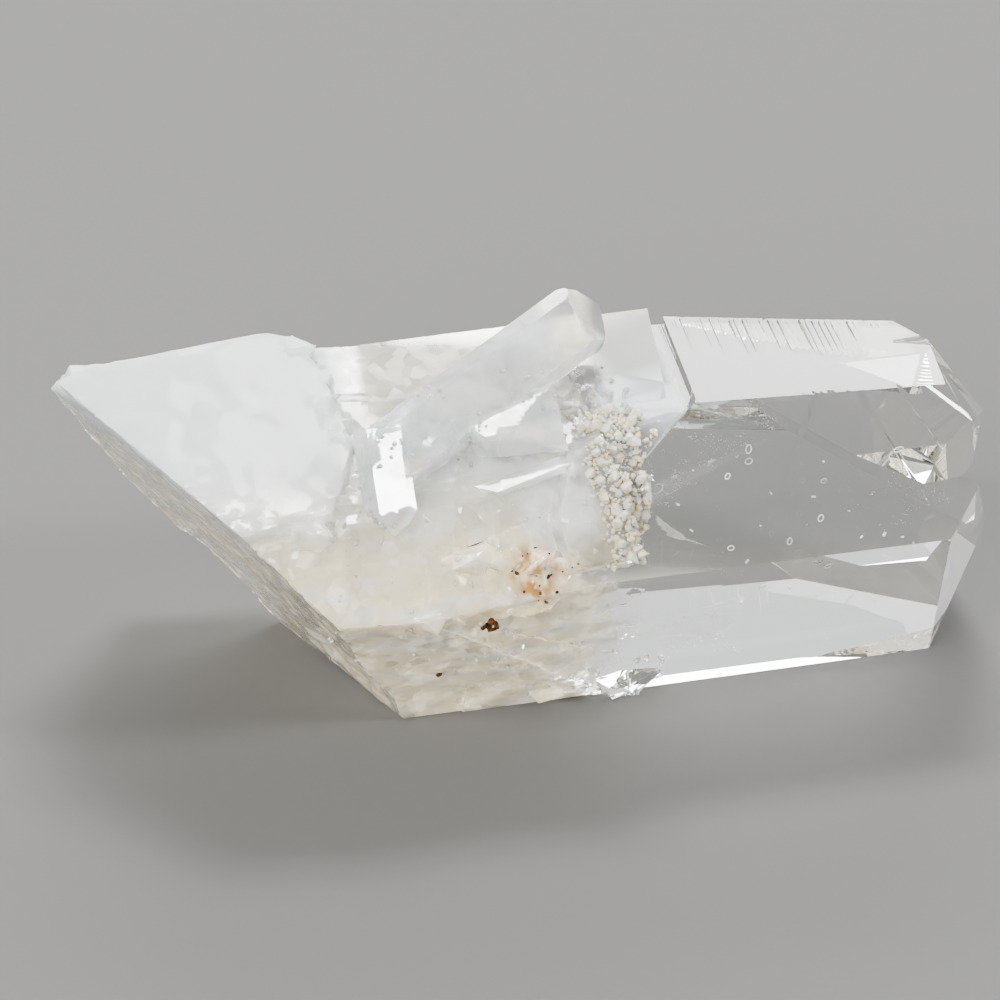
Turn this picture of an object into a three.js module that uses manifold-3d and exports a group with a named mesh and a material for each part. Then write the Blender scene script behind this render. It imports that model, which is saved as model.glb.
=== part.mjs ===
// A quartz cluster: one clear prismatic crystal with a parallel twin along its upper back edge, grown
// out of a milky root that was broken off obliquely, with small crystals and a drusy ridge on top.
// Millimetres. +X runs along the clear crystal to its tip, +Z is up, and the lower prism face lies flat.
import * as THREE from "three";
import { ConvexGeometry } from "three/addons/geometries/ConvexGeometry.js";
import { mergeVertices } from "three/addons/utils/BufferGeometryUtils.js";
import Module from "manifold-3d";

// Driving dimensions of the clear crystal
const AXIS_HEIGHT = 20.4; // its long axis above the face it rests on
const STATION = 24; // place along the axis where the face distances are measured
const PRISM = {
  top: { angle: 90, reach: 20.3, lean: 2.2 },
  upperFront: { angle: 30, reach: 20.35, lean: 5.3 },
  lowerFront: { angle: -30, reach: 16.55, lean: 5.1 },
  base: { angle: -90, reach: AXIS_HEIGHT, lean: 0 },
  lowerBack: { angle: -150, reach: 21.1, lean: 4 },
  upperBack: { angle: 150, reach: 18.4, lean: 6.3 },
};
const BACK_TAPERS = [ // where the clear crystal narrows into the root behind
  { angle: 150, reach: 20.6, lean: -6.2 },
  { angle: -150, reach: 22.3, lean: -2.7 },
];
const TWIN_THICKNESS = 29; // from the upper front face to the back of the parallel twin

// Corners of the tip, where its faces meet
const TIP_CORNER = [59.5, -1.5, 15.4];
const TIP_FRONT_HIGH = [51.1, -14.6, 30.8];
const TIP_FRONT_MID = [53.6, -12.4, 27.4];
const TIP_FRONT_LOW = [49.2, -19.4, 22.8];
const TIP_BASE = [52.7, -4.4, 0];
const TWIN_CORNER = [58.5, 0, 30.6];
const TWIN_BACK_TOP = [48.5, 6.9, 39.8];
const TWIN_TOP = [51.6, 1.7, 39.6];
const TWIN_FRONT_HIGH = [53.9, -11.6, 35.5];
const TWIN_FRONT_LOW = [53.4, -13.7, 31.9];

const root = new THREE.Group();
const wasm = await Module();
wasm.setup();

const vec = (p) => new THREE.Vector3(...p);
const degrees = THREE.MathUtils.degToRad;

// The same small irregularities each time: a plain repeating sequence of fractions
function fractions(seed) {
  let state = seed;
  return () => {
    state = (state * 16807) % 2147483647;
    return state / 2147483647;
  };
}

// A flat crystal face: the crystal lies behind the plane through a point, square to a direction
function face(outward, point) {
  return { outward: vec(outward).normalize(), point: vec(point) };
}

function faceThrough(a, b, c, side) {
  const outward = vec(b).sub(vec(a)).cross(vec(c).sub(vec(a))).normalize();
  if (outward.dot(vec(side)) < 0) outward.negate();
  return { outward, point: vec(a) };
}

function moved(given, distance) {
  return { outward: given.outward, point: given.point.clone().addScaledVector(given.outward, distance) };
}

function turnedBack(given) {
  return { outward: given.outward.clone().negate(), point: given.point };
}

// A long prism face of the clear crystal, leaning in toward the tip
function prismFace({ angle, reach, lean }, inset = 0) {
  const around = degrees(angle);
  const tilt = degrees(lean);
  const across = new THREE.Vector3(0, -Math.cos(around), Math.sin(around));
  const outward = across.clone().multiplyScalar(Math.cos(tilt));
  outward.x = Math.sin(tilt);
  const point = new THREE.Vector3(STATION, 0, AXIS_HEIGHT).addScaledVector(across, reach - inset);
  return { outward, point };
}

// Where three faces meet, when that corner lies behind all the others
function corner(a, b, c, faces) {
  const bc = new THREE.Vector3().crossVectors(b.outward, c.outward);
  const size = a.outward.dot(bc);
  if (Math.abs(size) < 1e-5) return null;
  const ca = new THREE.Vector3().crossVectors(c.outward, a.outward);
  const ab = new THREE.Vector3().crossVectors(a.outward, b.outward);
  const spot = bc
    .multiplyScalar(a.outward.dot(a.point))
    .addScaledVector(ca, b.outward.dot(b.point))
    .addScaledVector(ab, c.outward.dot(c.point))
    .divideScalar(size);
  const inside = faces.every((f) => f.outward.dot(spot) - f.outward.dot(f.point) < 1e-4);
  return inside ? spot : null;
}

function toSolid(geometry) {
  geometry.deleteAttribute("normal");
  geometry.deleteAttribute("uv");
  const merged = mergeVertices(geometry, 1e-4);
  const mesh = new wasm.Mesh({
    numProp: 3,
    vertProperties: new Float32Array(merged.attributes.position.array),
    triVerts: new Uint32Array(merged.index.array),
  });
  return new wasm.Manifold(mesh);
}

const hull = (points) => toSolid(new ConvexGeometry(points));

// A crystal bounded by flat faces
function crystalFrom(faces) {
  const corners = [];
  for (let i = 0; i < faces.length; i++) {
    for (let j = i + 1; j < faces.length; j++) {
      for (let k = j + 1; k < faces.length; k++) {
        const spot = corner(faces[i], faces[j], faces[k], faces);
        if (spot) corners.push(spot);
      }
    }
  }
  return hull(corners);
}

const FRONT = new THREE.Vector3(0, -0.866, 0.5); // out of the upper front face

// A small six-sided crystal: its foot, its tip, its width, how flat it is, how uneven its point is and
// how far its front end face has outgrown the others
const TIP_STEEPNESS = 0.79; // along the axis for each unit across it, on the pyramid faces' outward direction
const FRONT_FACE = 1; // of the six, counted from the side
function smallCrystal({ foot, tip, width, flat = 1, turn = 0, uneven = 0.2, bold = 0 }) {
  const start = vec(foot);
  const end = vec(tip);
  const axis = end.clone().sub(start).normalize();
  const side = FRONT.clone().cross(axis).normalize();
  const front = new THREE.Vector3().crossVectors(axis, side);
  const faces = [{ outward: axis.clone().negate(), point: start }];
  for (let i = 0; i < 6; i++) {
    const around = degrees(60 * i + turn);
    const across = side.clone().multiplyScalar(Math.cos(around)).addScaledVector(front, Math.sin(around));
    const reach = (width / 2) * (i % 3 === FRONT_FACE ? flat : 1);
    faces.push({ outward: across, point: start.clone().addScaledVector(across, reach) });
    const slope = across.clone().addScaledVector(axis, TIP_STEEPNESS);
    const drop = width * (uneven * (i % 2) + (i === FRONT_FACE ? bold : 0));
    faces.push({ outward: slope.normalize(), point: end.clone().addScaledVector(axis, -drop) });
  }
  return crystalFrom(faces);
}

// A flat slab: an outline on a sloping plane, given along it and down it, with a bevelled rim
function slab({ at, along, down, outline, rise, depth, bevel }) {
  const u = vec(along).normalize();
  const v = vec(down).normalize();
  const out = new THREE.Vector3().crossVectors(v, u).normalize();
  if (out.z < 0) out.negate();
  const centre = [0, 1].map((k) => outline.reduce((sum, p) => sum + p[k], 0) / outline.length);
  const points = [];
  for (const [x, y] of outline) {
    for (const [height, inward] of [[rise, bevel], [0, 0], [-depth, -bevel]]) {
      const reach = Math.hypot(x - centre[0], y - centre[1]);
      const keep = 1 - inward / reach;
      points.push(
        vec(at)
          .addScaledVector(u, centre[0] + (x - centre[0]) * keep)
          .addScaledVector(v, centre[1] + (y - centre[1]) * keep)
          .addScaledVector(out, height)
      );
    }
  }
  return hull(points);
}

// A broken lump of crystal with flat sides
const LUMP_CORNERS = 11;
function lump(place, size, seed) {
  const next = fractions(seed);
  const points = [];
  for (let i = 0; i < LUMP_CORNERS; i++) {
    const p = new THREE.Vector3(next() - 0.5, next() - 0.5, next() - 0.5).normalize();
    points.push(vec(place).add(p.multiply(vec(size)).multiplyScalar(0.5)));
  }
  return hull(points);
}

// Lumps along a line from one place to another
function lumpsAlong(from, to, count, size, spread, seed) {
  const next = fractions(seed);
  const made = [];
  for (let i = 0; i < count; i++) {
    const spot = vec(from).lerp(vec(to), (i + next() * 0.6) / count);
    const shift = [next() - 0.5, next() - 0.5, next() - 0.5].map((v) => v * spread);
    const scale = 0.65 + 0.7 * next();
    made.push(lump(spot.add(vec(shift)).toArray(), size.map((s) => s * scale), seed + 17 * i + 3));
  }
  return made;
}

// The clear crystal and its parallel twin share their top and upper front faces
function clearCrystal() {
  const front = prismFace(PRISM.upperFront);
  const top = prismFace(PRISM.top);
  const back = prismFace(PRISM.upperBack);
  const stepLeft = faceThrough([14.6, -14.6, 35.6], [20.6, -12.2, 40.8], [15.2, -9, 34.2], [-1, 0, 1]);
  const lower = crystalFrom([
    top,
    front,
    back,
    stepLeft,
    prismFace(PRISM.lowerFront),
    prismFace(PRISM.base),
    prismFace(PRISM.lowerBack),
    face([0.441, 0.774, 0.455], [45.9, 18.5, 13.4]),
    faceThrough(TIP_FRONT_HIGH, TIP_FRONT_MID, TIP_CORNER, [1, 0, 0]),
    faceThrough(TIP_FRONT_LOW, TIP_BASE, TIP_CORNER, [1, 0, 0]),
    faceThrough(TIP_CORNER, TIP_BASE, [59.2, 13.2, 6], [1, 0, -1]),
    faceThrough(TIP_BASE, [58.7, 12.3, 4.4], [44.3, 11.6, 1.1], [0, 0, -1]),
    ...BACK_TAPERS.map((taper) => prismFace(taper)),
    face([-1, 0, 0], [-6, 0, 0]),
  ]);
  const twin = crystalFrom([
    top,
    front,
    back,
    turnedBack(moved(front, -TWIN_THICKNESS)),
    faceThrough(TWIN_BACK_TOP, TWIN_TOP, TWIN_CORNER, [1, 0, 1]),
    faceThrough(TWIN_TOP, TWIN_FRONT_HIGH, TWIN_CORNER, [1, 0, 1]),
    faceThrough(TWIN_FRONT_HIGH, TWIN_FRONT_LOW, TWIN_CORNER, [1, 0, 0]),
    face([0.7, -0.3, -0.6], [53.2, -13.9, 31.2]),
    prismFace(PRISM.lowerFront),
    face([-1, 0, -0.3], [21, 0, 41]),
    face([0, 0, -1], [0, 0, 19]),
  ]);
  return lower.add(twin);
}

// The milky root runs left to the break, a little inside the clear crystal's faces
const SHOULDER = face([-0.066, -0.331, 0.941], [-35, 5, 42.2]);
function milkyRoot() {
  return crystalFrom([
    SHOULDER,
    face([0, 0, 1], [0, 0, 40]),
    prismFace(PRISM.upperFront, 0.25),
    prismFace(PRISM.lowerFront, 0.25),
    prismFace(PRISM.base),
    prismFace({ ...PRISM.lowerBack, lean: 1 }, 0.5),
    prismFace({ ...PRISM.upperBack, lean: -0.5 }, 0.4),
    face([1, 0, 0], [24, 0, 0]),
    face([-0.85, 0, 0.5], [-48.4, 3, 42]),
  ]);
}

// A second root crystal along the lower front, with a ridge of its own that runs into the clear one's
const RIDGE_START = [-25.5, -27.6, 23.8];
const RIDGE_BEND = [-12, -26.92, 23.35];
const RIDGE_END = [9, -22.88, 24.25]; // on the clear crystal's ridge
function lowerCrystal() {
  return crystalFrom([
    face([0.06, -0.86, 0.5], RIDGE_START),
    face([0.02, -0.8, -0.6], RIDGE_START),
    face([0.02, -0.5, 0.87], [-21.8, -20.4, 34.4]),
    moved(SHOULDER, -0.5),
    prismFace(PRISM.base),
    faceThrough(RIDGE_BEND, RIDGE_END, [9, -15.52, 37], FRONT),
    faceThrough(RIDGE_BEND, RIDGE_END, [14, -8.36, 0], [0, -1, 0]),
    face([1, 0, 0], [18, 0, 0]),
    face([0, 1, 0], [0, 4, 0]),
    face([-1, 0, 0], [-60, 0, 0]),
  ]);
}

// The broad milky plate on the root's shoulder, stepped at its right edge
const PLATE = { at: [-35, 5, 43.8], along: [0.998, -0.022, 0.062], down: [0, -0.943, -0.332] };
function milkyPlate() {
  const outline = [
    [-22, 6],
    [-12.3, 1.9],
    [0.6, 1.7],
    [8.4, -0.5],
    [10.8, 0.5],
    [12.4, 1.8],
    [14.4, 7.9],
    [16.5, 17.6],
    [15.4, 22.7],
    [13.2, 27.9],
    [1.4, 30.4],
    [-22, 34],
  ];
  return slab({ ...PLATE, outline, rise: 0.2, depth: 4, bevel: 0.5 });
}

// The small crystals that grew across the top and front
function smallCrystals() {
  return [
    smallCrystal({
      foot: [-14.6, -16.8, 39.2],
      tip: [12.9, -1.2, 49.7],
      width: 7.4,
      flat: 0.66,
      turn: 30,
      uneven: 0.1,
      bold: 0.3,
    }),
    smallCrystal({ foot: [-16, -16.5, 42.4], tip: [-15, -24.4, 32], width: 5.8, flat: 0.6, turn: 8 }),
  ];
}

// Two broken terraces on the front: each has a bright flat top and a steep front below it
const UPPER_TERRACE = [
  [-5.51, -15.87, 41.5],
  [-4.01, -17.27, 41.12],
  [-0.85, -16.52, 41.49],
  [4.73, -10.33, 43.65],
  [-1.45, -11.92, 42.9],
  [-3.79, -14.01, 42.15],
  [5.37, -17.47, 38.71],
  [-2.76, -18.02, 38.75],
  [5.8, -12, 36],
  [-5.6, -13, 36],
];
const LOWER_TERRACE = [
  [-5.7, -19.7, 36.2],
  [-3.15, -20.79, 35.97],
  [1.2, -19.63, 36.51],
  [4.57, -18.32, 37.06],
  [6.16, -16.91, 37.57],
  [5.58, -16.23, 37.75],
  [2.08, -17.53, 37.2],
  [-2.13, -19.17, 36.52],
  [-5.03, -19.71, 35.51],
  [-2.8, -19.96, 34.82],
  [1.5, -19.2, 35.6],
  [4.91, -18.41, 36.56],
  [6.37, -17.7, 37.6],
  [0, -14, 34],
];
const terraces = () => [UPPER_TERRACE, LOWER_TERRACE].map((corners) => hull(corners.map(vec)));

// The drusy ridge that crosses from the back edge down the front
function drusyRidge() {
  return [
    ...lumpsAlong([12.8, 8, 38.8], [10, -11.5, 38.6], 7, [5.4, 7, 5.6], 1.2, 11),
    ...lumpsAlong([9.5, -14.2, 37.6], [10.5, -21.4, 26.4], 9, [8.6, 5, 6.4], 2, 29),
    slab({
      at: [5.6, -16.2, 38.4],
      along: [1, 0.05, 0],
      down: [-0.04, -0.5, -0.87],
      outline: [[0, 0], [3.6, -1.5], [5.6, 4], [7.4, 9.5], [5.4, 13.6], [-0.6, 14.2], [-2.4, 8], [-1.2, 3]],
      rise: 1.6,
      depth: 3,
      bevel: 0.7,
    }),
  ];
}

// Rough growth on the plate's stepped edge, the root's front and the lower rim
function roughGrowth() {
  return [
    ...lumpsAlong([-22.6, 2, 42.6], [-18.8, -13, 37.4], 6, [4.2, 5, 3.6], 0.8, 41),
    ...lumpsAlong([-19.4, -16.5, 35.4], [-24.5, -22.4, 32.6], 5, [5.5, 4, 3.4], 0.8, 67),
    ...lumpsAlong([-9, -23.6, 29], [5, -22.8, 27], 8, [5, 2.2, 3.8], 1.4, 83),
    ...lumpsAlong([-12, -26, 22.8], [5, -23, 22.4], 5, [5, 1.8, 3], 1, 101),
    ...lumpsAlong([4, -10.4, 3.4], [18, -9.6, 2.6], 6, [5.6, 3.6, 4.6], 0.8, 131),
    ...lumpsAlong([-13.5, -14.5, 38.6], [-7, -13, 39.4], 4, [4.6, 4.4, 3], 1, 157),
  ];
}

// The break: one oblique plane, hollowed by shallow shell-shaped scars
const BREAK = face([-0.733, -0.395, -0.553], [-13.7, -9.8, 0]);
const BEYOND = 90; // past the root on every side
const SCAR_RADIUS = 34;
const SCARS = [[-4, 16, 1.5], [9, 0, 1.1], [-16, 27, 1.2], [18, 26, 0.9], [2, 38, 1.3]]; // across, up, depth
function brokenOff() {
  const u = new THREE.Vector3(0, 1, 0).cross(BREAK.outward).normalize();
  const v = new THREE.Vector3().crossVectors(BREAK.outward, u);
  const corners = [];
  for (const across of [-BEYOND, BEYOND]) {
    for (const up of [-BEYOND, BEYOND]) {
      for (const out of [0, BEYOND]) {
        const spot = moved(BREAK, out).point;
        corners.push(spot.addScaledVector(u, across).addScaledVector(v, up));
      }
    }
  }
  let removed = hull(corners);
  for (const [across, up, depth] of SCARS) {
    const ball = new THREE.IcosahedronGeometry(SCAR_RADIUS, 9);
    const centre = moved(BREAK, SCAR_RADIUS - depth).point;
    centre.addScaledVector(u, across).addScaledVector(v, up);
    ball.translate(centre.x, centre.y, centre.z);
    removed = removed.add(toSolid(ball));
  }
  return removed;
}

function quartzCluster() {
  let grown = milkyRoot().add(lowerCrystal()).add(milkyPlate()).add(clearCrystal());
  for (const piece of [...smallCrystals(), ...terraces(), ...drusyRidge(), ...roughGrowth()]) {
    grown = grown.add(piece);
  }
  const whole = grown.subtract(brokenOff());
  const skins = whole.decompose().sort((a, b) => b.volume() - a.volume());
  const mesh = skins[0].getMesh(); // the outer skin, solid all through
  const geometry = new THREE.BufferGeometry();
  geometry.setAttribute("position", new THREE.BufferAttribute(mesh.vertProperties, 3));
  geometry.setIndex(new THREE.BufferAttribute(mesh.triVerts, 1));
  return geometry;
}

const quartz = new THREE.MeshStandardMaterial({ color: 0xdfe3e0, roughness: 0.08, metalness: 0 });
const geometry = quartzCluster();
geometry.computeBoundingBox();
const box = geometry.boundingBox;
const cluster = new THREE.Mesh(geometry, quartz);
cluster.name = "quartz_cluster";
cluster.position.set(-(box.min.x + box.max.x) / 2, -(box.min.y + box.max.y) / 2, -box.min.z);
root.add(cluster);

export default root;
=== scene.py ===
import math
import random

import bmesh
import bpy
from mathutils import Matrix, Vector, noise


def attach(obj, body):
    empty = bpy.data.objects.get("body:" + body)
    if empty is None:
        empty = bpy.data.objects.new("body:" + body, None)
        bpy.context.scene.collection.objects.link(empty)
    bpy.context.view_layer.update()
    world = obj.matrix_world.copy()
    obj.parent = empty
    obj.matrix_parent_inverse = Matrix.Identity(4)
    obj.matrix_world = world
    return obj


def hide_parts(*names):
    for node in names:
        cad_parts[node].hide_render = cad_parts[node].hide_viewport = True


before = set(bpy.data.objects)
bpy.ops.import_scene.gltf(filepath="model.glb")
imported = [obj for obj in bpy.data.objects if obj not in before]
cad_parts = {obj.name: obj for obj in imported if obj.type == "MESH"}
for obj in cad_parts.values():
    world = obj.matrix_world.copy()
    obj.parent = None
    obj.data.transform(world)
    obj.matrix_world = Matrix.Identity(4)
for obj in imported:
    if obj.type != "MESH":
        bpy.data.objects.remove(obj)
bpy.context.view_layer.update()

# The body of the cluster: one quartz growth, milky in the broken root on the left and water clear in
# the long crystal on the right. Nature made it in one piece, so it is the modelled solid itself, with
# its flat faces cut finer so that the broken face, the worn edges and the growth lines can be formed.
MM = 0.001
MIDDLE = Vector((-3.744, 1.788, 0.0))  # from the crystal's own axis to the middle of the footprint


def spot(x, y, z):
    """A place given in millimetres from the clear crystal's own axis."""
    return (Vector((x, y, z)) + MIDDLE) * MM


def own(co):
    """The same place back in millimetres from the crystal's own axis."""
    return co / MM - MIDDLE


def ease(value, low, high):
    """0 below low, 1 above high and a smooth rise between them."""
    share = max(0.0, min(1.0, (value - low) / (high - low)))
    return share * share * (3 - 2 * share)


BREAK_OUT = Vector((-0.733, -0.395, -0.553)).normalized()
BREAK_POINT = Vector((-13.7, -9.8, 0.0))
BACK_OUT = Vector((0.110, 0.861, 0.497))  # out of the long crystal's upper back face
UPPER_FRONT = Vector((0.0924, -0.8623, 0.4979))
LOWER_FRONT = Vector((0.0889, -0.8626, -0.4980))
TERRACE_OUT = Vector((-0.04, -0.297, 0.954))  # out of the bright tops of the two terraces
ROOT_CELL = 1.1  # mm between cuts in the milky root's faces
BREAK_CELL = 0.8

body_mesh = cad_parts["quartz_cluster"].data.copy()
body_mesh.name = "quartz_body"
cut = bmesh.new()
cut.from_mesh(body_mesh)
bmesh.ops.remove_doubles(cut, verts=cut.verts, dist=0.002 * MM)
bmesh.ops.dissolve_limit(cut, angle_limit=math.radians(0.4), verts=cut.verts, edges=cut.edges)


def slice_faces(bm, chosen, along, places):
    """Cuts the chosen faces by planes square to one axis, at the given places in millimetres."""
    for place in places:
        at = spot(0, 0, 0)
        at[along] += place * MM
        faces = [f for f in bm.faces if chosen(f)
                 and min(v.co[along] for v in f.verts) < at[along] - 1e-6
                 and max(v.co[along] for v in f.verts) > at[along] + 1e-6]
        if not faces:
            continue
        edges = {e for f in faces for e in f.edges}
        verts = {v for f in faces for v in f.verts}
        square = Vector((0, 0, 0))
        square[along] = 1
        bmesh.ops.bisect_plane(bm, geom=list(verts) + list(edges) + faces, dist=1e-7,
                               plane_co=at, plane_no=square)


def steps(first, last, size):
    return [first + size * i for i in range(int((last - first) / size) + 1)]


def on_break(face):
    return face.normal.dot(BREAK_OUT) > 0.75 and (own(face.calc_center_median()) - BREAK_POINT).dot(BREAK_OUT) > -4


def on_root(face):
    middle = own(face.calc_center_median())
    return middle.x < 15 and face.normal.z > -0.95 and not on_break(face) and face.calc_area() > MM * MM


def on_top(face):
    return face.normal.z > 0.995 and own(face.calc_center_median()).x > 11


def on_twin_back(face):
    return face.normal.dot(BACK_OUT) > 0.995 and own(face.calc_center_median()).x > 36


def on_lower_front(face):
    middle = own(face.calc_center_median())
    return face.normal.dot(LOWER_FRONT) > 0.99 and 11 < middle.x < 36 and middle.z < 16


for along, first, last in ((0, 11.5, 36), (2, 1, 16)):
    slice_faces(cut, on_lower_front, along, steps(first, last, 0.9))
for along, first, last in ((0, -4, 7), (2, 21, 32)):
    slice_faces(cut, lambda f: (own(f.calc_center_median()) - Vector((1.4, -24.2, 26.8))).length < 6, along,
                steps(first, last, 0.45))
for along, first, last in ((0, -51, 15), (1, -28, 24), (2, 1, 51)):
    slice_faces(cut, on_root, along, steps(first, last, ROOT_CELL))
    slice_faces(cut, on_break, along, steps(first, last, BREAK_CELL))

# growth lines square to the crystal's length: on its top, strongest along the back edge, and on the back
LINE_WIDTH = 0.11
line_source = random.Random(7)
top_lines = []
x = 12.4
while x < 47:
    top_lines.append(x)
    x += line_source.uniform(0.2, 0.5) if x < 28 else line_source.uniform(0.3, 1.1)
back_lines = []
x = 38.0
while x < 57:
    back_lines.append(x)
    x += line_source.uniform(0.3, 0.9)
slice_faces(cut, on_top, 1, steps(-15, 12, 1.0))
for chosen, lines in ((on_top, top_lines), (on_twin_back, back_lines)):
    slice_faces(cut, chosen, 0, sorted(x + d for x in lines for d in (-LINE_WIDTH / 2, 0, LINE_WIDTH / 2)))
bmesh.ops.triangulate(cut, faces=[f for f in cut.faces if len(f.verts) > 3])
cut.normal_update()


def facets(p, size, amount):
    """Small flat growth facets: each patch of the surface leans its own way."""
    centre = noise.voronoi(p / size)[1][0] * size
    return (p - centre).dot(noise.noise_vector(centre * 1.7)) * amount


def on_small_crystal(p):
    """1 on the two small crystals that stand out of the root, which keep their flat faces."""
    long_one = ease(p.z, 42.2, 42.8) * ease(p.x, -13, -12)
    stubby_one = ease(-p.y, 20.2, 21) * ease(5.6 - (p - Vector((-15.5, -22.5, 37))).length, 0, 0.8)
    return max(long_one, stubby_one)


line_depth = {x: line_source.uniform(0.25, 1.0) for x in top_lines + back_lines}
moves = []
for v in cut.verts:
    p = own(v.co)
    around = v.link_faces
    if p.z < 0.02:
        continue
    if any(on_top(f) for f in around) and p.x > 12:
        near = min(top_lines, key=lambda x: abs(x - p.x))
        if abs(near - p.x) < 0.01 and all(on_top(f) for f in around):
            fade = max(0.0, min(1.0, (p.y + 6 * line_depth[near]) / 14))
            moves.append((v, -v.normal * 0.05 * line_depth[near] * fade * MM))
        continue
    if all(on_twin_back(f) for f in around):
        near = min(back_lines, key=lambda x: abs(x - p.x))
        if abs(near - p.x) < 0.01:
            moves.append((v, -v.normal * 0.08 * line_depth[near] * MM))
        continue
    if any(f.normal.dot(TERRACE_OUT) > 0.985 for f in around) and -7 < p.x < 7 and p.y > -21:
        continue
    if p.x > 12:
        if all(f.normal.dot(LOWER_FRONT) > 0.99 for f in around):
            patchy = ease(noise.noise(p * 0.16 + Vector((3, 0, 0))), -0.25, 0.15)
            patchy *= ease(p.x, 12, 15) * (1 - ease(p.x, 27, 35)) * (1 - ease(p.z, 8, 13))
            moves.append((v, v.normal * patchy * facets(Vector((p.x * 0.5, p.y, p.z)), 2.2, 0.30) * MM))
        continue
    if all(on_break(f) for f in around):
        r = (p - Vector((-30, 4, 20))).length
        bend = 0.06 * math.sin(r * 1.7 + 3 * noise.noise(p * 0.1)) + 0.26 * noise.noise(p * 0.3)
    else:
        plate = ease(-p.x, 17, 20) * ease(p.z, 34, 37)
        flat = max(plate, ease(p.z, 38, 39.5))
        fade = (1 - ease(p.x, 7, 12)) * (1 - on_small_crystal(p))
        bend = 0.07 * (1 - on_small_crystal(p)) * noise.noise(p * 0.22)
        bend += fade * (1 - 0.85 * flat) * facets(p, 3.0, 0.17) + fade * facets(p, 7.5, 0.02)
    rim = max((e.calc_face_angle(0.0) for e in v.link_edges), default=0.0)
    if rim > 0.35 and on_small_crystal(p) < 0.5:
        bend -= 0.28 * max(0.0, noise.noise(p * 0.7) + 0.5 * noise.noise(p * 2.3) + 0.25)
    moves.append((v, v.normal * bend * MM))
for v, move in moves:
    v.co += move
    v.co.z = max(v.co.z, 0.0)

cut.to_mesh(body_mesh)
cut.free()
body_mesh.polygons.foreach_set("use_smooth", [True] * len(body_mesh.polygons))
body_mesh.set_sharp_from_angle(angle=math.radians(14))

quartz = bpy.data.materials.new("quartz")
quartz.use_nodes = True
tree = quartz.node_tree
shine = tree.nodes["Principled BSDF"]


def join(tree, socket, value):
    if isinstance(value, bpy.types.NodeSocket):
        tree.links.new(value, socket)
    else:
        socket.default_value = value


def node(tree, kind, **inputs):
    """A node with its values: sockets by name or by _number, and its own settings after two underscores."""
    made = tree.nodes.new(kind)
    for name, value in inputs.items():
        if name.startswith("__"):
            setattr(made, name[2:], value)
    for name, value in inputs.items():
        if name.startswith("__"):
            continue
        numbered = name[0] == "_" and name[1:].isdigit()
        join(tree, made.inputs[int(name[1:]) if numbered else name.replace("_", " ")], value)
    return made


def ramp(tree, value, low, high, to_low=0.0, to_high=1.0):
    return node(tree, "ShaderNodeMapRange", __interpolation_type="SMOOTHSTEP", Value=value, From_Min=low,
                From_Max=high, To_Min=to_low, To_Max=to_high).outputs[0]


def maths(tree, what, a, b=0.0, clamp=False):
    return node(tree, "ShaderNodeMath", __operation=what, __use_clamp=clamp, _0=a, _1=b).outputs[0]


def times(tree, *shares):
    result = shares[0]
    for share in shares[1:]:
        result = maths(tree, "MULTIPLY", result, share)
    return result


def blend_colour(tree, share, a, b):
    return node(tree, "ShaderNodeMix", __data_type="RGBA", _0=share, _6=a, _7=b).outputs[2]


def near(tree, place, centre, inner, outer):
    """1 within a distance of a place in the crystal's millimetres and 0 past a farther one."""
    distance = node(tree, "ShaderNodeVectorMath", __operation="DISTANCE", _0=place, _1=centre).outputs["Value"]
    return ramp(tree, distance, inner, outer, 1.0, 0.0)


def crystal_place(tree):
    """Object coordinates in millimetres from the crystal's own axis."""
    return node(tree, "ShaderNodeMapping", Vector=node(tree, "ShaderNodeTexCoord").outputs["Object"],
                Scale=(1000, 1000, 1000), Location=tuple(-MIDDLE)).outputs[0]



# Milk, colour and gloss are worked out for each place of the surface and kept on the mesh, so that they
# follow the stone: milky on the left and clear past the drusy ridge, with a soft and uneven boundary.
STAIN = Vector((1.4, -24.2, 26.8))
BROWN = Vector((-4.7, -25.4, 21.5))


def cloudy(p, offset=0.0):
    q = p + Vector((offset, 0, 0))
    return 0.5 + 0.42 * noise.noise(q) + 0.2 * noise.noise(q * 2.1) + 0.1 * noise.noise(q * 4.3)


def mixed(share, a, b):
    return a + (b - a) * share


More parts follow.
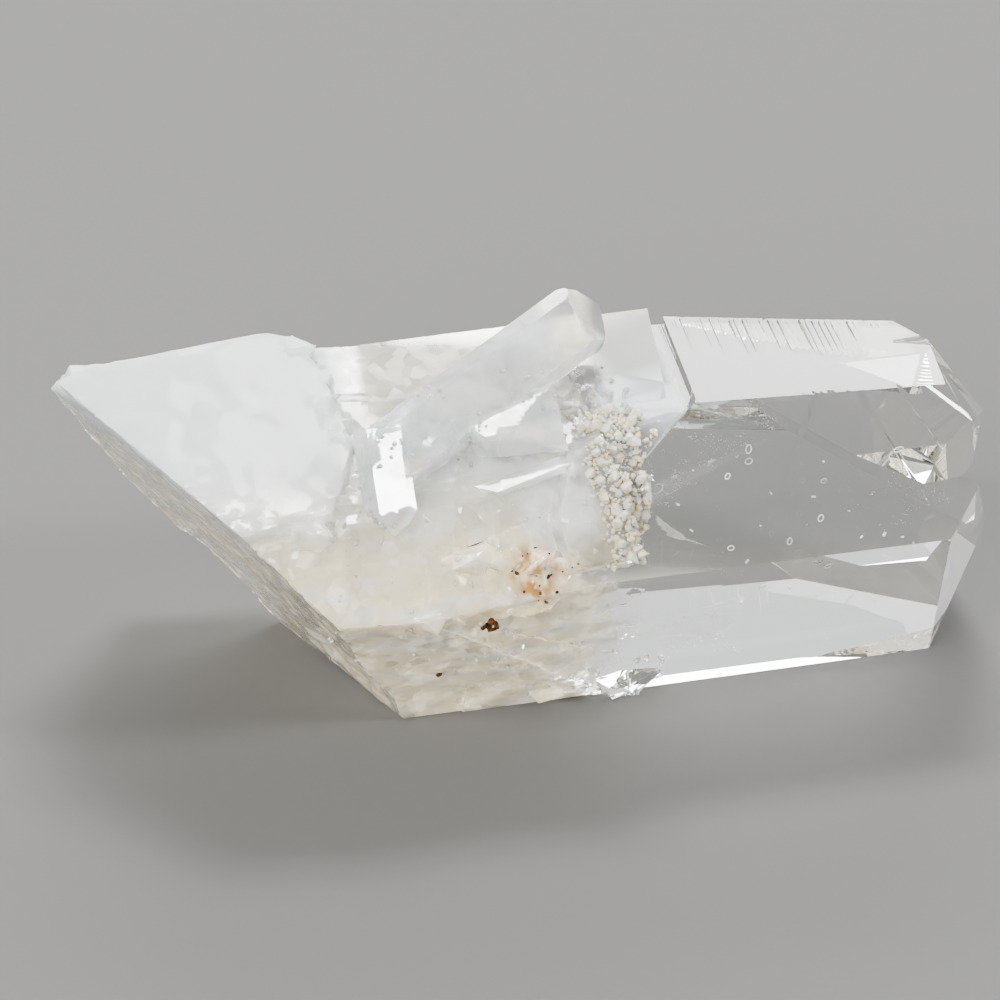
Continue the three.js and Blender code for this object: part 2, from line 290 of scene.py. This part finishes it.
def stone_at(p):
    """How milky, clear, dull, glossy and uneven the stone is at a place, and its colour there, with painted shading on
    the shelf.
    """
    streak = ease(cloudy(Vector((p.x * 0.09 + p.z * 0.02, p.y * 0.45, p.z * 0.40 + p.x * 0.03))), 0.48, 0.74)
    edge = p.x + 16 * (cloudy(p * 0.16, 9) - 0.5) - 7 * streak * ease(24 - p.z, 0, 6)
    milk = (1 - ease(edge, 3, 15)) * (1 - ease(p.x, 11.5, 14.8))
    plate = ease(-p.x, 17, 21) * ease(p.z, 34, 37)
    small = on_small_crystal(p)
    clearing = ease(cloudy(p * 0.34, 4), 0.44, 0.68)
    top = ease(p.z, 38.2, 39.4) * ease(43.5 - p.z, 0, 1) * ease(p.x, -17.5, -15.5) * ease(p.y, -12, -9.5) * milk
    shelf = ease(p.z, 38.2, 39.4) * ease(20.5 - p.x, 0, 2) * ease(p.x, 8, 11)
    opacity = (0.74 + 0.2 * plate) * (1 - clearing * (0.5 - 0.4 * plate)) * (1 - 0.5 * small) * (1 - 0.35 * top) * milk
    opacity = max(opacity, 0.45 * shelf)
    opacity = max(opacity, 0.92 * (1 - ease((p - STAIN).length, 2.5, 5.5)))
    dull = max(0.85 * plate, 0.9 * top)
    satin = max(milk * (0.10 + 0.22 * cloudy(p * 1.6, 2) + 0.34 * plate), 0.32 * max(shelf, top))

    colour = mixed(ease(p.z, 27, 38), Vector((0.95, 0.85, 0.60)), Vector((0.63, 0.67, 0.69)))
    colour = mixed(0.7 * streak * (1 - plate), colour, Vector((0.96, 0.96, 0.95)))
    cream = ease(p.x, 4, 9) * ease(p.z, 24, 30) * milk
    colour = mixed(0.65 * cream, colour, Vector((0.95, 0.84, 0.56)))
    colour = mixed(0.7 * top, colour, Vector((0.38, 0.355, 0.285)))
    column = (1 - ease((p - Vector((4.6, -18.5, 32.5))).length, 3.8, 6.5)) * ease(10 - p.x, 0, 3)
    colour = mixed(column, colour, Vector((0.93, 0.965, 1.0)))
    blotch = cloudy(p * 0.9, 6)
    halo = max(1 - ease((p - BROWN).length, 0.8, 3.6), 0.6 - 0.6 * ease((p - STAIN).length, 2.4, 7.4))
    colour = mixed(0.65 * halo * ease(blotch, 0.3, 0.55), colour, Vector((0.88, 0.72, 0.32)))
    stain = (1 - ease((p - STAIN).length, 1.8, 4.9)) * ease(blotch, 0.36, 0.54)
    colour = mixed(0.95 * stain, colour, Vector((0.50, 0.22, 0.03)))
    colour = mixed(milk, Vector((0.97, 0.97, 0.96)), colour)
    # painted shading on the flat shelf: a grey band of painted shade across its middle and a pale blue-white strip of
    # painted light along its front stand in for sub-faces that are not modelled, beside the shelf's beige
    painted_shelf_shading = mixed(ease(p.y, 2.6, 3.6), Vector((0.24, 0.25, 0.25)), Vector((0.62, 0.58, 0.48)))
    painted_shelf_shading = mixed(ease(-p.y, 5.4, 6.2), painted_shelf_shading, Vector((0.82, 0.88, 0.94)))
    colour = mixed(shelf, colour, painted_shelf_shading)
    uneven = milk * (1 - max(plate, small)) * (0.45 + 0.55 * ease(cloudy(p * 0.34, 4), 0.36, 0.5))
    return {"milk": milk, "clearness": 1 - min(opacity, 1), "satin": satin, "gloss": milk * (1 - dull),
            "unevenness": uneven, "tone": (*colour, 1)}


places = [stone_at(own(v.co)) for v in body_mesh.vertices]
for name in ("milk", "clearness", "satin", "gloss", "unevenness"):
    body_mesh.attributes.new(name, "FLOAT", "POINT").data.foreach_set("value", [at[name] for at in places])
body_mesh.attributes.new("tone", "FLOAT_COLOR", "POINT").data.foreach_set("color", [c for at in places for c in at["tone"]])


def kept(name, output="Fac"):
    return node(tree, "ShaderNodeAttribute", __attribute_name=name).outputs[output]


milk = kept("milk")
join(tree, shine.inputs["Base Color"], kept("tone", "Color"))
join(tree, shine.inputs["Transmission Weight"], kept("clearness"))
join(tree, shine.inputs["Roughness"], kept("satin"))
join(tree, shine.inputs["Coat Weight"], kept("gloss"))
shine.subsurface_method = "BURLEY"
shine.inputs["Coat Roughness"].default_value = 0.04
shine.inputs["Coat IOR"].default_value = 1.544
shine.inputs["IOR"].default_value = 1.544
inside_out = node(tree, "ShaderNodeNewGeometry").outputs["Backfacing"]  # milk seen through the clear part
join(tree, shine.inputs["Subsurface Weight"], maths(tree, "SUBTRACT", 1.0, inside_out))
shine.inputs["Subsurface Radius"].default_value = (1.0, 1.0, 1.0)
shine.inputs["Subsurface Scale"].default_value = 0.0025

# growth facets finer than the modelled ones: each cell of the surface is flat and leans its own way
place = crystal_place(tree)
cell = node(tree, "ShaderNodeTexVoronoi", Vector=place, Scale=0.6)
reach = node(tree, "ShaderNodeVectorMath", __operation="SUBTRACT", _0=place, _1=cell.outputs["Position"]).outputs[0]
way = node(tree, "ShaderNodeVectorMath", __operation="SUBTRACT", _0=cell.outputs["Color"], _1=(0.5, 0.5, 0.5)).outputs[0]
lean = node(tree, "ShaderNodeVectorMath", __operation="DOT_PRODUCT", _0=reach, _1=way).outputs["Value"]
height = times(tree, lean, kept("unevenness"), 0.5)
relief = node(tree, "ShaderNodeBump", Strength=1.0, Distance=0.001, Height=height)
painted_glow = times(tree, inside_out, milk, 0.42)  # painted glow: an emission on the milk's inner side stands in for the light that the milk scatters back into the clear part
join(tree, shine.inputs["Emission Strength"], painted_glow)
shine.inputs["Emission Color"].default_value = (1.0, 0.98, 0.93, 1)
quartz.cycles.emission_sampling = "NONE"
join(tree, shine.inputs["Normal"], relief.outputs[0])
smoke = node(tree, "ShaderNodeVolumeAbsorption", Color=(0.90, 0.90, 0.86, 1), Density=6.0)
join(tree, tree.nodes["Material Output"].inputs["Volume"], smoke.outputs[0])


def piece(name, mesh):
    made = bpy.data.objects.new(name, mesh)
    bpy.context.scene.collection.objects.link(made)
    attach(made, "root")
    return made


body_mesh.materials.clear()
body_mesh.materials.append(quartz)
body = piece("quartz_body", body_mesh)
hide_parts("quartz_cluster")

# The druse: a crust of small pointed quartz crystals, cream and rounded-looking on the ridge beside the
# clear crystal, thin and white on the terraces, the plate's step and the lower rim. They grew on the body.
CREAM = (1.0, 0.92, 0.62, 1)
WHITE = (0.93, 0.94, 0.93, 1)


def grain_finish(name, colour, clearness, rough):
    made = bpy.data.materials.new(name)
    made.use_nodes = True
    tree = made.node_tree
    shine = tree.nodes["Principled BSDF"]
    place = crystal_place(tree)
    uneven = node(tree, "ShaderNodeTexNoise", Vector=place, Scale=0.8, Detail=2.0).outputs[0]
    join(tree, shine.inputs["Base Color"], blend_colour(tree, ramp(tree, uneven, 0.3, 0.7), colour, (0.95, 0.95, 0.93, 1)))
    join(tree, shine.inputs["Transmission Weight"], ramp(tree, uneven, 0.25, 0.75, clearness * 0.6, clearness))
    shine.inputs["Roughness"].default_value = rough
    shine.inputs["IOR"].default_value = 1.544
    return made


cream_grain = grain_finish("cream_druse", CREAM, 0.2, 0.08)
white_grain = grain_finish("white_druse", WHITE, 0.6, 0.06)

crust = bpy.data.node_groups.new("druse", "GeometryNodeTree")
crust_inputs = {}
for label, kind in (("Patch", "Geometry"), ("Crystals per square metre", "Float"), ("Narrowest", "Float"),
                    ("Widest", "Float"), ("Longest", "Float"), ("Lean", "Float"), ("Seed", "Int"), ("Finish", "Material")):
    crust_inputs[label] = crust.interface.new_socket(label, in_out="INPUT", socket_type="NodeSocket" + kind).identifier
crust.interface.new_socket("Crust", in_out="OUTPUT", socket_type="NodeSocketGeometry")
given = crust.nodes.new("NodeGroupInput").outputs
points = node(crust, "GeometryNodeDistributePointsOnFaces", Mesh=given["Patch"],
              Density=given["Crystals per square metre"], Seed=given["Seed"])
column = node(crust, "GeometryNodeMeshCylinder", Vertices=6, Radius=0.5, Depth=1.0)
point = node(crust, "GeometryNodeMeshCone", Vertices=6, Radius_Bottom=0.5, Depth=0.5)
lifted = node(crust, "GeometryNodeTransform", Geometry=point.outputs["Mesh"], Translation=(0, 0, 0.5))
both = node(crust, "GeometryNodeJoinGeometry")
for part in (column.outputs["Mesh"], lifted.outputs[0]):
    crust.links.new(part, both.inputs[0])
grain = node(crust, "GeometryNodeConvexHull", Geometry=both.outputs[0])
lean_low = node(crust, "ShaderNodeCombineXYZ", X=maths(crust, "MULTIPLY", given["Lean"], -1), Y=maths(crust, "MULTIPLY", given["Lean"], -1))
lean_high = node(crust, "ShaderNodeCombineXYZ", X=given["Lean"], Y=given["Lean"], Z=6.28)
leaning = node(crust, "FunctionNodeRandomValue", __data_type="FLOAT_VECTOR", _0=lean_low.outputs[0], _1=lean_high.outputs[0],
               Seed=given["Seed"])
turned = node(crust, "FunctionNodeRotateRotation", __rotation_space="LOCAL", Rotation=points.outputs["Rotation"],
              Rotate_By=node(crust, "FunctionNodeEulerToRotation", Euler=leaning.outputs[0]).outputs[0])
width = node(crust, "FunctionNodeRandomValue", _2=given["Narrowest"], _3=given["Widest"], Seed=5).outputs[1]
length = node(crust, "FunctionNodeRandomValue", _2=0.7, _3=given["Longest"], Seed=6).outputs[1]
size = node(crust, "ShaderNodeCombineXYZ", X=width, Y=width, Z=maths(crust, "MULTIPLY", width, length))
placed = node(crust, "GeometryNodeInstanceOnPoints", Points=points.outputs["Points"], Instance=grain.outputs[0],
              Rotation=turned.outputs[0], Scale=size.outputs[0])
whole = node(crust, "GeometryNodeRealizeInstances", Geometry=placed.outputs[0])
finished = node(crust, "GeometryNodeSetMaterial", Geometry=whole.outputs[0], Material=given["Finish"])
crust.links.new(finished.outputs[0], crust.nodes.new("NodeGroupOutput").inputs[0])


def patch_of(chosen):
    """The body's faces that are chosen by their middle and the way they face."""
    corners, faces, kept = [], [], {}
    for face in body_mesh.polygons:
        if chosen(own(face.center), face.normal):
            faces.append([kept.setdefault(i, len(kept)) for i in face.vertices])
    corners = [body_mesh.vertices[i].co.copy() for i in kept]
    made = bpy.data.meshes.new("patch")
    made.from_pydata(corners, [], faces)
    return made


def grown(name, patch, per_mm2, narrowest, widest, longest, lean, seed, finish):
    holder = bpy.data.objects.new(name + "_patch", patch)
    bpy.context.scene.collection.objects.link(holder)
    growth = holder.modifiers.new("druse", "NODES")
    growth.node_group = crust
    for label, value in (("Crystals per square metre", per_mm2 * 1e6), ("Narrowest", narrowest * MM), ("Widest", widest * MM),
                         ("Longest", longest), ("Lean", lean), ("Seed", seed), ("Finish", finish)):
        growth[crust_inputs[label]] = value
    shape = holder.evaluated_get(bpy.context.evaluated_depsgraph_get())
    mesh = bpy.data.meshes.new_from_object(shape)
    mesh.name = name
    holder.modifiers.remove(growth)
    bpy.data.objects.remove(holder)
    if not mesh.polygons:
        return None
    return piece(name, mesh)


def ridge_front(p, n):
    jag = 1.6 * noise.noise(p * 0.5)
    return 5.4 + jag < p.x < 14.6 + jag and p.y < -11 and 25.5 < p.z < 41 and n.y < -0.1


def cream_part(p, n):
    return ridge_front(p, n) and p.x > 9.0 - 0.25 * (p.z - 30) + 1.5 * noise.noise(p * 0.6 + Vector((4, 0, 0)))


grown("cream_druse", patch_of(cream_part), 5.0, 0.22, 0.62, 1.8, 0.7, 3, cream_grain)
grown("cream_crystals", patch_of(cream_part), 0.45, 0.7, 1.5, 1.5, 0.5, 13, cream_grain)
grown("white_druse", patch_of(lambda p, n: ridge_front(p, n) and not cream_part(p, n) and noise.noise(p * 0.45) > 0.12),
      0.35, 0.35, 0.9, 1.5, 0.5, 4, white_grain)
grown("ridge_back_druse", patch_of(lambda p, n: 7.5 < p.x < 14.5 and -13 < p.y < 10 and 37.5 < p.z < 42 and n.z > 0
                                   and noise.noise(p * 0.4) > -0.1), 0.3, 0.3, 0.9, 1.8, 0.7, 5, white_grain)
grown("step_druse", patch_of(lambda p, n: -24.5 < p.x < -16 and p.y < 3 and p.z > 31 and (n.x > 0.35 or n.z < 0.6)
                             and noise.noise(p * 0.5) > 0.0), 0.4, 0.25, 0.7, 1.6, 0.7, 6, white_grain)
grown("root_druse", patch_of(lambda p, n: -22 < p.x < 6 and p.y < -10 and p.z > 8 and n.y < 0
                             and noise.noise(p * 0.24) > 0.16), 0.22, 0.15, 0.55, 1.6, 0.6, 7, white_grain)
grown("lower_rim_druse", patch_of(lambda p, n: 2 < p.x < 19 and p.y < -7 and p.z < 7 and n.y < 0
                                  and noise.noise(p * 0.5) > 0.0), 0.25, 0.25, 0.8, 1.6, 0.6, 8, white_grain)

# Iron minerals on the front: brown crystals in a yellow halo, rust grains in the orange patch and one
# dark fleck lower down. They are small opaque crystals seated in the quartz surface.
iron = bpy.data.materials.new("iron_mineral")
iron.use_nodes = True
tree = iron.node_tree
shine = tree.nodes["Principled BSDF"]
uneven = node(tree, "ShaderNodeTexNoise", Vector=crystal_place(tree), Scale=1.7, Detail=3.0).outputs[0]
join(tree, shine.inputs["Base Color"], blend_colour(tree, ramp(tree, uneven, 0.35, 0.65), (0.045, 0.018, 0.008, 1), (0.20, 0.075, 0.02, 1)))
shine.inputs["Roughness"].default_value = 0.25

grown("rust_grains", patch_of(lambda p, n: (p - Vector(STAIN)).length < 4.2 and n.y < 0 and noise.noise(p * 0.9) > 0.05),
      0.9, 0.12, 0.42, 1.3, 0.9, 9, iron)


def hexagonal(bm, at, axis, width, length, flat=1.0):
    """A small six-sided crystal with a blunt end, its middle at a place and its length along an axis."""
    turn = axis.normalized().to_track_quat("Z", "Y").to_matrix().to_4x4()
    made = bmesh.ops.create_cone(bm, cap_ends=True, segments=6, radius1=0.5, radius2=0.5, depth=1.0,
                                 matrix=Matrix.Translation(at) @ turn @ Matrix.Diagonal((width * MM, width * flat * MM, length * MM, 1)))
    return made["verts"]


lumps = bmesh.new()
for at, axis, width, length in (
    ((-4.7, -25.5, 21.7), (0.2, -0.5, 1.0), 0.75, 1.5),
    ((-4.0, -25.45, 21.4), (-0.3, -0.6, 1.0), 0.6, 1.2),
    ((-5.3, -25.4, 21.3), (0.6, -0.4, 0.8), 0.5, 1.0),
    ((-4.5, -25.4, 20.8), (0.9, -0.2, 0.3), 0.45, 0.9),
    ((-9.5, -16.7, 9.7), (0.6, -0.5, 0.7), 0.55, 0.6),
):
    hexagonal(lumps, spot(*at), Vector(axis), width, length)
brown_mesh = bpy.data.meshes.new("brown_crystals")
lumps.to_mesh(brown_mesh)
lumps.free()
brown_mesh.materials.append(iron)
piece("brown_crystals", brown_mesh)

# What the clear crystal holds: grains with a bright rim that it grew round, each just under the front
# faces, and thin healed cracks drawn as sheets of tiny bubbles.
trapped = bpy.data.materials.new("trapped_grain")
trapped.use_nodes = True
tree = trapped.node_tree
shine = tree.nodes["Principled BSDF"]
uneven = node(tree, "ShaderNodeTexNoise", Vector=crystal_place(tree), Scale=1.2, Detail=2.0).outputs[0]
join(tree, shine.inputs["Base Color"], blend_colour(tree, ramp(tree, uneven, 0.35, 0.65), (0.80, 0.82, 0.84, 1), (0.97, 0.97, 0.95, 1)))
shine.inputs["Roughness"].default_value = 0.2


def ring(bm, centre, out, turn, long, short, thick):
    """A closed ring lying in a face, long by short, with a round section."""
    side = Vector((1, 0, 0)) - out * out.x
    side.normalize()
    up = out.cross(side)
    u = side * math.cos(turn) + up * math.sin(turn)
    v = out.cross(u)
    rounds, section = 14, 5
    loops = []
    for i in range(rounds):
        a = 2 * math.pi * i / rounds
        middle = u * math.cos(a) * long + v * math.sin(a) * short
        outward = (u * math.cos(a) * short + v * math.sin(a) * long).normalized()
        loops.append([bm.verts.new(centre + (middle + (outward * math.cos(b) + out * math.sin(b)) * thick) * MM)
                      for b in (2 * math.pi * j / section for j in range(section))])
    for i in range(rounds):
        for j in range(section):
            a, b = loops[i], loops[(i + 1) % rounds]
            bm.faces.new((a[j], b[j], b[(j + 1) % section], a[(j + 1) % section]))


# place on the front, ring or fleck size in millimetres, and how it is turned
RINGS = (
    (26.7, -14.4, 35.6, 0.50, 0.30, 1.3), (26.6, -15.1, 34.4, 0.42, 0.30, 0.4), (15.6, -17.2, 32.8, 0.75, 0.42, 0.5),
    (24.0, -16.1, 33.2, 0.36, 0.25, 0.9), (35.4, -15.8, 31.5, 0.34, 0.24, 0.2), (34.7, -18.0, 27.9, 0.40, 0.28, 1.0),
    (34.3, -19.5, 23.0, 0.50, 0.34, 0.3), (35.7, -18.7, 21.8, 0.45, 0.30, 0.8), (30.8, -19.5, 26.0, 0.38, 0.26, 1.2),
    (44.6, -13.6, 33.7, 0.62, 0.26, 0.2), (28.2, -18.1, 19.3, 0.40, 0.28, 0.6), (23.8, -20.2, 26.1, 0.36, 0.25, 0.1),
)
FLECKS = (
    (17.9, -18.0, 31.1, 0.5), (35.5, -14.7, 33.4, 0.45), (34.0, -16.8, 30.1, 0.5), (42.2, -18.6, 25.5, 0.55),
    (44.3, -18.7, 25.0, 0.5), (45.6, -18.9, 24.0, 0.45), (25.6, -20.9, 24.6, 0.5), (31.6, -17.2, 18.4, 0.55),
    (22.8, -20.9, 23.3, 0.4), (20.0, -16.0, 34.2, 0.35), (38.2, -17.0, 28.0, 0.3), (29.0, -16.8, 31.0, 0.35),
    (27.5, -18.9, 28.0, 0.3), (41.0, -16.2, 29.5, 0.3), (39.4, -19.0, 25.6, 0.35), (33.0, -18.4, 27.4, 0.25),
    (19.3, -19.5, 28.4, 0.4), (47.6, -16.0, 28.2, 0.3), (26.0, -17.2, 16.8, 0.5), (37.4, -15.4, 16.0, 0.4),
)
inside = bmesh.new()
fleck_source = random.Random(21)
for x, y, z, long, short, turn in RINGS:
    out = UPPER_FRONT if z > 24.2 else LOWER_FRONT
    ring(inside, spot(x, y, z) - out * 0.05 * MM, out, turn, long, short, 0.10)
for x, y, z, wide in FLECKS:
    out = UPPER_FRONT if z > 24.2 else LOWER_FRONT
    axis = Vector([fleck_source.uniform(-1, 1) for _ in range(3)])
    hexagonal(inside, spot(x, y, z) - out * 0.12 * MM, axis, wide * 0.7, wide * 1.1, 0.7)
trapped_mesh = bpy.data.meshes.new("trapped_grains")
inside.to_mesh(trapped_mesh)
inside.free()
trapped_mesh.materials.append(trapped)
piece("trapped_grains", trapped_mesh)


def sheet(corner, across, down, bulge, chosen, cells=44):
    """A curved sheet, from a corner and its two sides, with only the chosen cells kept."""
    a, u, v = (Vector(c) for c in (corner, across, down))
    bend = u.cross(v).normalized()
    at = {}
    for i in range(cells + 1):
        for j in range(cells + 1):
            s, t = i / cells, j / cells
            p = a + u * s + v * t
            at[i, j] = p + bend * (bulge * math.sin(math.pi * s) * math.sin(math.pi * t) + 0.8 * noise.noise(p * 0.25))
    number = {key: k for k, key in enumerate(at)}
    faces = [[number[i, j], number[i + 1, j], number[i + 1, j + 1], number[i, j + 1]]
             for i in range(cells) for j in range(cells) if chosen(at[i, j], i / cells, j / cells)]
    made = bpy.data.meshes.new("sheet")
    made.from_pydata([spot(*p) for p in at.values()], [], faces)
    return made


def wispy(p, s, t):
    rim = min(s, t, 1 - s, 1 - t)
    return noise.noise(p * 0.45) + 0.5 * noise.noise(p * 1.1) > 0.16 - 0.8 * min(rim, 0.3) + 0.3 * (rim < 0.06)


grown("veil_middle", sheet((19, -13.5, 29), (13, 2, 6), (-2, 3.5, 5), 1.2, wispy), 7.0, 0.05, 0.13, 1.2, 1.5, 31, trapped)
grown("veil_left", sheet((12, -14.5, 27), (9, 1.5, 2), (-1, 4, 9), 1.5, wispy), 8.0, 0.05, 0.14, 1.2, 1.5, 32, trapped)
grown("veil_low", sheet((16, -14, 8), (12, 1, -2), (-1, -2, 9), -1.0, wispy), 6.0, 0.05, 0.14, 1.2, 1.5, 33, trapped)
grown("veil_tip", sheet((42, -13.5, 22), (9, 2, 3), (-1, 1, 7), 0.8, wispy), 4.0, 0.05, 0.12, 1.2, 1.5, 34, trapped)

# The plain pale floor that the cluster lies on. It is a tenth of a millimetre lower than the resting
# face, as under any hard stone that touches at a few points, so the air between them shows in the clear part.
floor_mesh = bpy.data.meshes.new("floor")
floor_mesh.from_pydata([(x, y, -0.1 * MM) for x, y in ((-3, -3), (3, -3), (3, 3), (-3, 3))], [], [(0, 1, 2, 3)])
floor = bpy.data.objects.new("floor", floor_mesh)
bpy.context.scene.collection.objects.link(floor)
paper = bpy.data.materials.new("pale_paper")
paper.use_nodes = True
matte = node(paper.node_tree, "ShaderNodeBsdfDiffuse", Color=(0.19, 0.19, 0.187, 1))
paper.node_tree.links.new(matte.outputs[0], paper.node_tree.nodes["Material Output"].inputs["Surface"])
floor_mesh.materials.append(paper)

# Soft studio light: a wide panel behind, a small lamp high behind for the bright terraces, one at the
# side for the stubby crystal, a weak fill in front and a surround that is lighter behind than in front.


def toward(azimuth, elevation):
    a, e = math.radians(azimuth), math.radians(elevation)
    return Vector((math.sin(a) * math.cos(e), -math.cos(a) * math.cos(e), math.sin(e)))


def panel(name, azimuth, elevation, distance, width, height, power, tint=(1, 1, 1)):
    lamp = bpy.data.lights.new(name, "AREA")
    lamp.shape = "RECTANGLE"
    lamp.size, lamp.size_y = width, height
    lamp.energy = power
    lamp.color = tint
    made = bpy.data.objects.new(name, lamp)
    made.location = toward(azimuth, elevation) * distance + Vector((0, 0, 0.02))
    made.rotation_euler = toward(azimuth, elevation).to_track_quat("Z", "Y").to_euler()
    bpy.context.scene.collection.objects.link(made)


panel("back_panel", 172, 33, 1.2, 0.8, 0.42, 10)
panel("high_back_lamp", 171.7, 65, 1.0, 0.30, 0.22, 7, (1.0, 0.98, 0.95))
panel("side_lamp", 62, 32, 1.0, 0.16, 0.16, 5)
panel("left_sparkle", -62, 38, 1.0, 0.05, 0.05, 1.6)
panel("front_fill", -38, 32, 1.2, 0.9, 0.7, 15, (1.0, 0.965, 0.92))
surround = bpy.data.worlds.new("surround")
surround.use_nodes = True
sky = surround.node_tree
behind = node(sky, "ShaderNodeVectorMath", __operation="DOT_PRODUCT", _0=node(sky, "ShaderNodeTexCoord").outputs["Generated"],
              _1=(0.139, 0.990, 0.0)).outputs["Value"]
join(sky, sky.nodes["Background"].inputs["Strength"], ramp(sky, behind, -0.3, 0.9, 0.27, 1.12))
sky.nodes["Background"].inputs["Color"].default_value = (0.96, 0.98, 1.0, 1)
bpy.context.scene.world = surround
bpy.context.scene.cycles.max_bounces = 12
bpy.context.scene.cycles.glossy_bounces = 10
bpy.context.scene.cycles.diffuse_bounces = 1
bpy.context.scene.cycles.transmission_bounces = 8
bpy.context.scene.cycles.blur_glossy = 0.6
bpy.context.scene.view_settings.look = "AgX - Medium High Contrast"

# The camera stands at the photograph's angle, 30 degrees up and a little left of square on.
CAMERA_TARGET = spot(0, 0, 22.8)
CAMERA_DISTANCE = 0.4
HALF_FRAME = 0.0595
camera_data = bpy.data.cameras.new("camera")
camera_data.sensor_width = 36
camera_data.lens = 18 / (HALF_FRAME / CAMERA_DISTANCE)
camera = bpy.data.objects.new("camera", camera_data)
camera.location = CAMERA_TARGET + toward(-8, 30) * CAMERA_DISTANCE
camera.rotation_euler = toward(-8, 30).to_track_quat("Z", "Y").to_euler()
bpy.context.scene.collection.objects.link(camera)
bpy.context.scene.camera = camera
